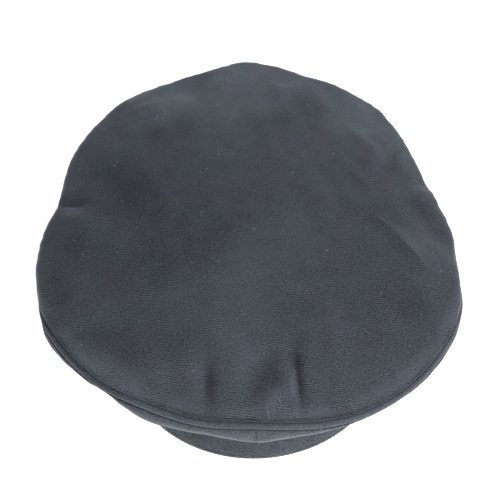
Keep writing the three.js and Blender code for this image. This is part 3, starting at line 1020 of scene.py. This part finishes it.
@dataclass
class CrownDisc(CapPart):
    """The soft disc of the crown, rolled over at its edge and tucked into the welt's seam."""

    tuck: float = 1.3
    tuck_turn: float = 80.0
    flat_until: float = 0.80
    rolled_until: float = 0.93
    facing: Facing = Facing.UP

    def travels(self, v: Array) -> tuple[Array, Array, Array]:
        """Returns how far each row is along the disc, its rolled edge and its tuck."""
        disc = np.clip(v / self.flat_until, 0, 1)
        roll = np.clip((v - self.flat_until) / (self.rolled_until - self.flat_until), 0, 1)
        tuck = np.clip((v - self.rolled_until) / (1 - self.rolled_until), 0, 1)
        return disc, roll, tuck

    def roll_angles(self, degrees: Array) -> tuple[Array, Array]:
        """Returns where the rolled edge starts and where it turns into the seam."""
        reach = FORM.edge("roll", degrees) - self.tuck
        before = np.degrees(np.arctan2(self.tuck, reach))
        return 90 - FORM.edge("fall", degrees), FORM.edge("turn", degrees) + before

    def surface(self, u: Array, v: Array) -> Array:
        """Returns the disc's outer face."""
        degrees = round_angle(u)
        disc, roll, tuck = self.travels(v)
        start, end = self.roll_angles(degrees)
        out, height = FORM.roll_centre(degrees)
        radius = FORM.edge("roll", degrees)
        turned = start + (end - start) * roll
        across, up = heading(turned)
        tucked_across, tucked_up = heading(turned - self.tuck_turn * tuck)
        core = np.where(tuck > 0, radius - self.tuck, 0.0)
        skin = np.where(tuck > 0, self.tuck, radius)
        rolled = FORM.around(degrees, out + core * across + skin * tucked_across,
                             height + core * up + skin * tucked_up)
        points = np.where((roll > 0)[..., None], rolled, FORM.disc(degrees, disc))
        x, y = points[..., 0], points[..., 1]
        main = sum(fold.height(x, y) for fold in MAIN_FOLDS) * (1 - smooth_step(roll, 0, 1))
        fine = sum(fold.height(x, y) for fold in FINE_FOLDS) * (1 - smooth_step(roll, 0.4, 1))
        points[..., 2] += main + fine
        return points

    def weave_map(self, u: Array, v: Array) -> Array:
        """Returns the flat cloth's place: plan over the disc, then on over its edge."""
        degrees = round_angle(u)
        disc, roll, tuck = self.travels(v)
        start, end = self.roll_angles(degrees)
        out, _ = FORM.disc_margin(degrees)
        reach = disc * (FORM.even_radius + (out - FORM.even_radius) * disc**2)
        reach = reach + FORM.edge("roll", degrees) * np.radians(start - end) * roll
        reach = reach + self.tuck * math.radians(self.tuck_turn) * tuck
        return FORM.around(degrees, reach, 0.0)[..., :2]

    def from_edge(self, u: Array, v: Array) -> Array:
        """Returns how far each place is from the seam with the welt."""
        degrees = round_angle(u)
        disc, roll, _ = self.travels(v)
        start, end = self.roll_angles(degrees)
        out, _ = FORM.disc_margin(degrees)
        return (1 - roll) * FORM.edge("roll", degrees) * np.radians(start - end) + (1 - disc) * out

    def relief(self, u: Array, v: Array) -> Array:
        """Returns slight wrinkles: slack over the back, puckers at the seam."""
        degrees = round_angle(u)
        _, roll, tuck = self.travels(v)
        x, y = self.weave_map(u, v).T
        slack = 0.40 * ripple(x / 34, y / 30, 11) + 0.12 * ripple(x / 15, y / 14, 12)
        back = 0.45 + 0.55 * smooth_step(y + 0.5 * x, -10, 70)
        from_edge = np.clip(FORM.outline("radius", degrees) - np.hypot(x, y), 0, None)
        puckers = 0.18 * ripple(np.radians(degrees) * 14, from_edge / 60, 13) * np.exp(-from_edge / 9)
        wrinkles = slack * back + puckers * off_the_back(degrees, 4)
        return wrinkles * (1 - smooth_step(roll, 0.5, 1)) * (1 - tuck)

    def declare(self, piece: bpy.types.Object) -> None:
        edge = self.weave_map((np.arange(360) + 0.5) / 360, np.ones(360))


@dataclass
class WeltCord(CapPart):
    """The cord in its bias strip, sewn between the disc and the quarters."""

    mean_reach: float = 127.0
    facing: Facing = Facing.CLOSED

    def surface(self, u: Array, v: Array) -> Array:
        """Returns the strip's face round the cord."""
        degrees = round_angle(u)
        out, height = FORM.welt_centre(degrees)
        pucker = 0.10 * ripple(degrees / 5.0, v * 2, 21) + 0.06 * ripple(degrees / 1.9, v, 22)
        radius = FORM.cord_radius + pucker * off_the_back(degrees, 4) * np.sin(np.pi * v)**2
        across, up = heading(360 * v)
        return FORM.around(degrees, out + radius * across, height + radius * up)

    def from_edge(self, u: Array, v: Array) -> Array:
        """Returns how far each place is, round the cord, from the seam with the disc."""
        seam = FORM.edge("turn", round_angle(u)) + 90
        apart = np.abs(np.mod(360 * v - seam + 180, 360) - 180)
        return FORM.cord_radius * np.radians(apart)

    def weave_map(self, u: Array, v: Array) -> Array:
        """Returns the strip's own length and width."""
        return 2 * math.pi * np.stack([(u - 0.5) * self.mean_reach, v * FORM.cord_radius], -1)


@dataclass
class Quarter(CapPart):
    """One quarter of the crown's side, between two seams, from the welt down to the band.

    start and end are in degrees from the front. Its edges are rounded over by welt_round, band_round
    and seam_round, and by pulled_round more where the cloth is pulled over the welt at its front left.
    """

    start: float = 0.0
    end: float = 90.0
    seam_gap: float = 0.03
    seam_round: float = 0.4
    welt_round: float = 0.095
    pulled_round: float = 0.152
    welt_fill: float = 0.75
    band_round: float = 1.0
    deepest_fall: float = 1.15
    proud: float = 0.9
    drape: float = 0.9
    gather_reach: float = 0.12
    weave_reach: float = 118.0
    wave_reach: float = 120.0
    seed: int = 31

    def angle(self, u: Array) -> Array:
        """Returns the angle from the front, with more columns at both seams."""
        seam = math.degrees(self.seam_gap / 2 / FORM.head_half_width)
        return self.start + seam + (self.end - self.start - 2 * seam) * denser_at_ends(u, 0.72)

    @staticmethod
    def travel(v: Array) -> Array:
        """Returns how far down the quarter each row is, with more rows at its edges."""
        return denser_at_ends(v, 0.80)

    def seam_distances(self, degrees: Array, t: Array) -> tuple[Array, Array, Array, Array]:
        """Returns how far each place is from the welt, the band and the seams at its start and end."""
        from_welt = 3 * FORM.edge("fullness", degrees) * t
        from_band = 3 * FORM.foot_rise * (1 - t)
        reach = FORM.outline("radius", degrees)
        from_start = np.radians(degrees - self.start) * reach
        from_end = np.radians(self.end - degrees) * reach
        return from_welt, from_band, from_start, from_end

    def surface(self, u: Array, v: Array) -> Array:
        """Returns the quarter's outer face, rounded over at its edges."""
        degrees, t = self.angle(u), self.travel(v)
        (out, height), (along, down) = FORM.quarter_section(degrees, t)
        from_welt, from_band, from_start, from_end = self.seam_distances(degrees, t)
        pulled = smooth_step(degrees, -50, -40) * (1 - smooth_step(degrees, -26, -10))
        fall = round_over(from_welt, self.welt_round + self.pulled_round * pulled)
        fall = fall + round_over(from_band, self.band_round)
        fall = fall + round_over(from_start, self.seam_round) + round_over(from_end, self.seam_round)
        full = self.welt_fill * (1 - smooth_step(from_welt, 0, 9))
        lift = self.proud + full - np.minimum(fall, self.deepest_fall)
        return FORM.around(degrees, out - lift * down, height + lift * along)

    def weave_map(self, u: Array, v: Array) -> Array:
        """Returns the length round the cap and the depth down the quarter."""
        degrees, t = self.angle(u), self.travel(v)
        line = np.stack([np.stack(FORM.quarter_section(degrees, step)[0]) for step in np.linspace(0, 1, 25)])
        steps = np.hypot(*np.moveaxis(np.diff(line, axis=0), 1, 0))
        depth = np.concatenate([np.zeros((1, len(degrees))), np.cumsum(steps, axis=0)])
        place = t * (len(depth) - 1)
        low = np.clip(place.astype(int), 0, len(depth) - 2)
        column = np.arange(len(degrees))
        down = depth[low, column] + (depth[low + 1, column] - depth[low, column]) * (place - low)
        return np.stack([np.radians(degrees) * self.weave_reach, -down], -1)

    def from_edge(self, u: Array, v: Array) -> Array:
        """Returns how far each place is from the nearest of the quarter's four seams."""
        return np.minimum.reduce(self.seam_distances(self.angle(u), self.travel(v)))

    def relief(self, u: Array, v: Array) -> Array:
        """Returns drag lines from the welt, gathers at both edges and puckers beside the seams."""
        degrees, t = self.angle(u), self.travel(v)
        around = np.radians(degrees) * self.wave_reach
        beside = np.minimum(*self.seam_distances(degrees, t)[2:])
        drape = ripple(around / 55, t * 0.8, self.seed) + 0.4 * ripple(around / 21, t * 1.4, self.seed + 1)
        drape = drape * self.drape
        held = smooth_step(t, 0, 0.25) * (1 - smooth_step(t, 0.75, 1)) * (1 - np.exp(-beside / 9))
        puckers = 0.30 * ripple(t * 7, around / 40, self.seed + 2) * np.exp(-beside / 5)
        gathered = np.exp(-t / self.gather_reach) + np.exp(-(1 - t) / self.gather_reach)
        gathers = 0.22 * ripple(around / 8, t * 1.5, self.seed + 3) * gathered
        edges = smooth_step(t, 0, 0.03) * (1 - smooth_step(t, 0.97, 1))
        return drape * held + (puckers + gathers) * edges * (1 - np.exp(-beside / 1.5))

    def declare(self, piece: bpy.types.Object) -> None:
        degrees = np.linspace(self.start, self.end, 61)
        sections = [FORM.quarter_section(degrees, t)[0] for t in np.linspace(0, 1, 41)]


@dataclass
class HeadBand(CapPart):
    """The band: cloth over a stiff strip, a seam at its back and rolled at both rims."""

    facing: Facing = Facing.CLOSED
    corner: float = 1.1
    corner_steps: int = 4
    trim: float = 0.1
    seam_width: float = 1.2
    seam_depth: float = 0.5
    mean_reach: float = 92.0

    def rounding(self, out: float, height: float, degrees: Array) -> Array:
        """Returns the points of a rounded corner round its own middle, at each angle."""
        across, up = heading(degrees)
        return np.stack([out + self.corner * across, height + self.corner * up], -1)

    def section(self) -> Array:
        """Returns the band's section as a closed line of points: distance outside the head, height."""
        wall = FORM.band_wall - self.trim
        near, far = self.corner, wall - self.corner
        low, high = self.corner, FORM.band_height - self.corner
        arc = np.linspace(0, 90, self.corner_steps + 1)
        face = np.linspace(low, high, self.rows // 2 - 2 * self.corner_steps)
        outer = np.stack([np.full(len(face), wall), face], -1)
        inner = np.stack([np.zeros(len(face)), face[::-1]], -1)
        line = np.concatenate([
            outer, self.rounding(far, high, arc[1:]), self.rounding(near, high, arc[:-1] + 90),
            inner, self.rounding(near, low, arc[1:] + 180), self.rounding(far, low, arc[:-1] + 270)])
        return np.concatenate([line, line[:1]])

    def along_section(self, v: Array) -> tuple[Array, Array, Array]:
        """Returns distance outside the head, height and length along the section."""
        line = self.section()
        length = np.concatenate([[0], np.cumsum(np.hypot(*np.diff(line, axis=0).T))])
        place, at = v * (len(line) - 1), np.arange(len(line))
        return tuple(np.interp(place, at, part) for part in (*line.T, length))

    def surface(self, u: Array, v: Array) -> Array:
        """Returns the band's face, with the groove of its back seam."""
        degrees = 360 * u - 180
        wall, height, _ = self.along_section(v)
        from_seam = np.radians(180 - np.abs(degrees)) * FORM.heel
        groove = self.seam_depth * np.exp(-(from_seam / self.seam_width)**2)
        outer = smooth_step(wall, 1.2, FORM.band_wall - self.trim)
        wave = 0.18 * ripple(degrees / 24, height / 60, 41) + 0.08 * ripple(degrees / 9, height / 25, 42)
        lift = outer * (wave * off_the_back(degrees, 6) - groove)
        return FORM.around(degrees, FORM.head_radius(degrees, 0.0) + wall + lift, height)

    def weave_map(self, u: Array, v: Array) -> Array:
        """Returns the length round the band and up its section."""
        _, _, length = self.along_section(v)
        return np.stack([(u - 0.5) * 2 * math.pi * self.mean_reach, length], -1)

    def declare(self, piece: bpy.types.Object) -> None:
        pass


@dataclass
class CoveredPeak(CapPart):
    """The short peak: a bowed board covered with the cap's cloth, with a narrow raised rim.

    spread and sweep are how far its root and its tip reach round to each side and lying_to how far the
    tip lies on the table, in degrees. At the root the upper face is drawn in toward the band by
    root_closing of the way.
    """

    facing: Facing = Facing.CLOSED
    front: float = 135.2
    widest_at: float = 61.0
    half_width: float = 93.0
    sweep: float = 112.0
    lying_to: float = 45.0
    spread: float = 70.0
    thickness: float = 2.9
    rim_thickness: float = 2.3
    bow: float = 2.5
    rim: float = 3.4
    askew: float = 1.6
    root_gap: float = 0.1
    root_height: float = 0.9
    root_closing: float = 0.88
    closing_power: int = 8
    rim_rise: float = 0.30
    groove_depth: float = 0.28
    groove_width: float = 0.55
    thin_ends: float = 0.018
    crowding: float = 1.5
    underside_shift: float = 300.0
    face_rows: int = 34
    round_rows: int = 8

    def across(self, u: Array) -> tuple[Array, Array]:
        """Returns the place across the peak, from -1 to 1, and how full its thickness is there."""
        place = 2 * denser_at_ends(u, 0.5) - 1
        margin = np.clip((1 - np.abs(place)) / self.thin_ends, 0, 1)
        return place, np.sqrt(np.clip(1 - (1 - margin)**2, 0, 1))

    def root_and_tip(self, place: Array) -> tuple[Array, Array]:
        """Returns the peak's root beside the band and its tip on the table."""
        root_at = place * self.spread
        reach = FORM.head_radius(root_at, FORM.band_wall + self.root_gap)
        root = FORM.around(root_at, reach, self.root_height)
        edge_at = place * self.sweep
        tip = FORM.around(edge_at, 1.0, 0.0) * [self.half_width, self.front - self.widest_at, 0.0]
        tip[..., 1] -= self.widest_at
        tip[..., 0] += self.askew
        lying = 1 - smooth_step(np.abs(edge_at), self.lying_to, self.sweep)
        tip[..., 2] = FORM.table_height(tip[..., 1]) * lying
        return root, tip

    def travels(self, v: Array) -> tuple[Array, Array, Array]:
        """Returns how far each row is over the face, round the rim and back under it, each from 0 to 1."""
        row = np.where(v * self.rows > self.rows - 0.5, 0.0, v * self.rows)
        over = np.clip(row / self.face_rows, 0, 1)
        turn = np.clip((row - self.face_rows) / self.round_rows, 0, 1)
        under = np.clip((row - self.face_rows - self.round_rows) / self.face_rows, 0, 1)
        return over, turn, under

    def back_from_tip(self, over: Array, under: Array) -> Array:
        """Returns how far back from the tip each row is, from 0 to 1, with more rows near the tip."""
        return np.where(under > 0, under, 1 - over)**self.crowding

    def surface(self, u: Array, v: Array) -> Array:
        """Returns the peak's face: over it from root to rim, round the rim and back under it."""
        place, full = self.across(u)
        over, turn, under = self.travels(v)
        root, tip = self.root_and_tip(place)
        run = tip - root
        length = np.linalg.norm(run, axis=-1)
        up = np.stack([-run[..., 0] * run[..., 2], -run[..., 1] * run[..., 2],
                       run[..., 0]**2 + run[..., 1]**2], -1)
        up = up / np.linalg.norm(up, axis=-1, keepdims=True)
        half = self.rim_thickness / 2 * full
        t = (1 - self.back_from_tip(over, under)) * (1 - half / length)
        from_edge = (1 - t) * length
        thick = self.rim_thickness + (self.thickness - self.rim_thickness) * smooth_step(from_edge, 0, 9)
        rim = self.rim_rise * (1 - smooth_step(from_edge, self.rim - 0.7, self.rim))
        stitch_groove = self.groove_depth * np.exp(-((from_edge - self.rim) / self.groove_width)**2)
        wave = 0.15 * ripple(place * 4, t * 1.5, 51) * smooth_step(from_edge, 3, 12)
        top = (thick + (rim - stitch_groove + wave) * smooth_step(from_edge, 0.9, 1.9)) * full
        angle = np.pi * turn
        height = np.where(turn > 0, half * (1 + np.cos(angle)), top)
        slope = -run[..., 2] / np.hypot(run[..., 0], run[..., 1])
        back_to_band = -self.root_closing * top * slope * (1 - t)**self.closing_power
        reach = np.where(turn > 0, half * np.sin(angle), back_to_band)
        bowed = self.bow * np.cos(np.radians(90 * place)) * 4 * t * (1 - t)
        return root + run * (t + reach / length)[..., None] + up * (bowed + height)[..., None]

    def from_edge(self, u: Array, v: Array) -> Array:
        """Returns how far each place is from the peak's rim."""
        place, _ = self.across(u)
        over, _, under = self.travels(v)
        root, tip = self.root_and_tip(place)
        return self.back_from_tip(over, under) * np.linalg.norm(tip - root, axis=-1)

    def weave_map(self, u: Array, v: Array) -> Array:
        """Returns the peak's own plan, its underside beside it."""
        points = self.surface(u, v)
        _, turn, _ = self.travels(v)
        shift = np.where(turn > 0.5, self.underside_shift, 0.0)
        return np.stack([points[..., 0] + shift, points[..., 1]], -1)


@dataclass(frozen=True)
class SoftBox:
    """A large soft light: where it hangs, its power, what it faces and its size, in metres and watts."""

    name: str
    place: tuple[float, float, float]
    power: float
    aim: tuple[float, float, float] = (0.0, 0.0, 0.08)
    size: float = 1.0


@dataclass
class Studio:
    """A pale floor, a soft surround and large soft lights, with the camera above the cap's front."""

    floor_size: float = 40.0
    floor_colour: tuple[float, float, float, float] = (0.92, 0.92, 0.92, 1.0)
    floor_glow: float = 0.70
    surround: float = 0.12
    lights: tuple[SoftBox, ...] = (
        SoftBox("window at the right", (1.22, 0.0, 1.46), 20.0),
        SoftBox("fill at the right front", (0.86, -0.86, 1.46), 7.0),
        SoftBox("low light at the right back", (1.28, 1.28, 0.59), 10.0),
        SoftBox("low light at the left front", (-1.28, -1.28, 0.59), 3.0),
        SoftBox("low light at the back", (-0.62, 1.70, 0.67), 5.0),
        SoftBox("low light at the front", (0.0, -1.81, 0.59), 18.0),
    )
    camera_place: tuple[float, float, float] = (-0.00254, -0.11293, 0.5)
    camera_turn: tuple[float, float, float] = (15.0, 0.0, -2.4)
    lens: float = 49.46
    sensor: float = 36.0
    nearest: float = 0.01

    def build_floor(self) -> None:
        """Lays the pale floor under the cap."""
        deselect()
        bpy.ops.mesh.primitive_plane_add(size=self.floor_size, location=(0, 0, 0))
        floor = bpy.context.object
        floor.name = "studio_floor"
        material = bpy.data.materials.new("pale floor")
        material.use_nodes = True
        set_inputs(material.node_tree.nodes["Principled BSDF"], {
            "Base Color": self.floor_colour, "Roughness": 0.9, "Specular IOR Level": 0.1,
            "Emission Color": WHITE, "Emission Strength": self.floor_glow})
        floor.data.materials.append(material)

    def build_surround(self) -> None:
        """Lights the room evenly with a pale surround."""
        world = bpy.data.worlds.new("studio surround")
        world.use_nodes = True
        set_inputs(world.node_tree.nodes["Background"], {"Color": WHITE, "Strength": self.surround})
        bpy.context.scene.world = world

    def build_lights(self) -> None:
        """Hangs the soft lights and aims each of them."""
        for box in self.lights:
            deselect()
            bpy.ops.object.light_add(type="AREA", location=box.place)
            light = bpy.context.object
            light.name = box.name
            light.data.energy = box.power
            light.data.size = box.size
            light.rotation_euler = (Vector(box.aim) - Vector(box.place)).to_track_quat("-Z", "Y").to_euler()

    def build_camera(self) -> None:
        """Sets the camera where the photograph was taken from, above the front and looking down."""
        deselect()
        turn = tuple(math.radians(angle) for angle in self.camera_turn)
        bpy.ops.object.camera_add(location=self.camera_place, rotation=turn)
        camera = bpy.context.object
        camera.name = "studio_camera"
        camera.data.lens = self.lens
        camera.data.sensor_width = self.sensor
        camera.data.clip_start = self.nearest
        bpy.context.scene.camera = camera

    def build(self) -> None:
        """Builds the whole studio."""
        self.build_camera()
        self.build_floor()
        self.build_surround()
        self.build_lights()
        bpy.context.scene.view_settings.view_transform = "Standard"


# The welt's and the quarters' serge is the crown's cloth given a lighter colour, as painted light where more
# light falls on them.
CROWN_SERGE = SergeFinish("slate serge, crown", (0.055, 0.064, 0.0775), bare=(0.060, -0.110),
                          marks=DISC_PAINTED_LIGHT_AND_SHADE + DISC_LINT_AND_CREASE_HIGHLIGHTS)
WELT_SERGE = SergeFinish("slate serge, welt", (0.092, 0.105, 0.127), slant=38.0, ribs=0.4, clouds=0.15,
                         painted_seam_shade=0.15, ridge_rub_and_highlight=0.0, marks=WELT_PAINTED_SHADE)
QUARTER_SERGE = SergeFinish("slate serge, quarters", (0.0645, 0.0747, 0.0885), slant=-24.0, painted_seam_shade=0.0,
                            ridge_rub_and_highlight=0.06, marks=QUARTER_PAINTED_SHADE_AND_LIGHT)
BAND_CLOTH = SergeFinish("slate cloth, band", (0.056, 0.065, 0.079), pitch=0.0009, slant=-40.0)
PEAK_CLOTH = SergeFinish("slate cloth, peak", (0.061, 0.073, 0.085), pitch=0.0009, slant=0.0, sheen=0.40,
                         patches=0.60, flecks=0.90, painted_seam_shade=0.0, ridge_rub_and_highlight=0.0, rim_rub_and_highlight=0.40)

FRONT_SEAM = -0.8
SIDE_SEAMS = (-98.0, 103.0)


def cap_parts() -> list[CapPart]:
    """Returns the cap's sewn parts in the order in which they are built."""
    left, right = SIDE_SEAMS
    cut = {"slot": "quarter_serge", "finish": QUARTER_SERGE, "columns": 120, "rows": 52, "wall": 1.2}
    front = {"drape": 0.3, **cut}
    return [
        CrownDisc("crown_disc", "crown_top", "crown_serge", CROWN_SERGE, 420, 104),
        WeltCord("welt_cord", "crown_welt", "welt_serge", WELT_SERGE, 600, 20),
        Quarter("front_quarter_left", "quarter_front_left", start=left, end=FRONT_SEAM, seed=31, **front),
        Quarter("front_quarter_right", "quarter_front_right", start=FRONT_SEAM, end=right, seed=36, **front),
        Quarter("rear_quarter_left", "quarter_rear_left", start=-180.0, end=left, seed=41, **cut),
        Quarter("rear_quarter_right", "quarter_rear_right", start=right, end=180.0, seed=46, **cut),
        HeadBand("head_band", "band", "band_cloth", BAND_CLOTH, 300, 78),
        CoveredPeak("covered_peak", "peak", "peak_cloth", PEAK_CLOTH, 180, 77),
    ]


def main() -> None:
    """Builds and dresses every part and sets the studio."""
    logging.basicConfig(level=logging.INFO, format="%(name)s: %(message)s")
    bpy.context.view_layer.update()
    Studio().build()
    effects = ClothEffects()
    for part in cap_parts():
        piece = part.build()
        part.dress(piece, effects)
        log.info("%s: %d faces, stands for %s", piece.name, len(piece.data.polygons), part.node)
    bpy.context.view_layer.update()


if __name__ == "__main__":
    main()
